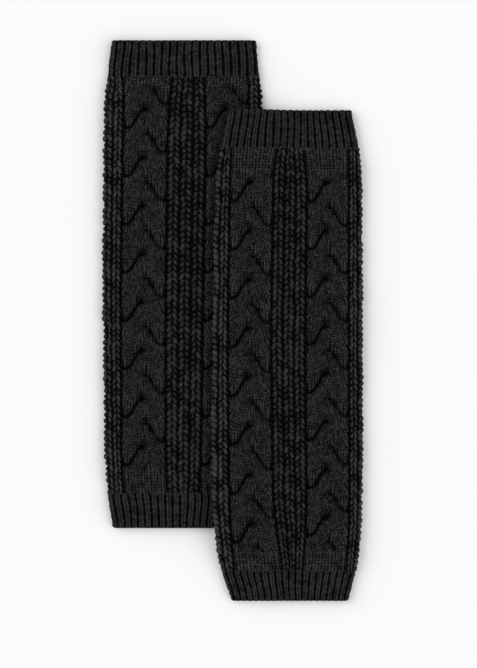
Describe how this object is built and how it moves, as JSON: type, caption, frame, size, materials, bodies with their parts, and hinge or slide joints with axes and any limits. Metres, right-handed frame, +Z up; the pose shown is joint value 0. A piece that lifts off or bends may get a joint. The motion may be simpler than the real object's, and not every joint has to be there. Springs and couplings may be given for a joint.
{
  "type": "pair of leg warmers",
  "caption": "Pair of black cable-knit leg warmers with ribbed cuffs, laid flat, one lying partly on the other.",
  "frame": {"origin": "on the surface that the pair lies on, under the middle of the pair's outline", "axes": "+Y runs along the legs towards the top cuffs, +X to the side of the over one, +Z up from the surface"},
  "size_m": [0.2146, 0.4588, 0.0208],
  "materials": {
    "cable_knit": "matt black wool and acrylic knit with cables and brioche ribs",
    "cuff_knit": "matt black wool and acrylic knit in one by one rib"
  },
  "bodies": {
    "root": {"under_top_cuff": "cuff_knit", "under_body": "cable_knit", "under_bottom_cuff": "cuff_knit", "over_top_cuff": "cuff_knit", "over_body": "cable_knit", "over_bottom_cuff": "cuff_knit"}
  },
  "joints": []
}
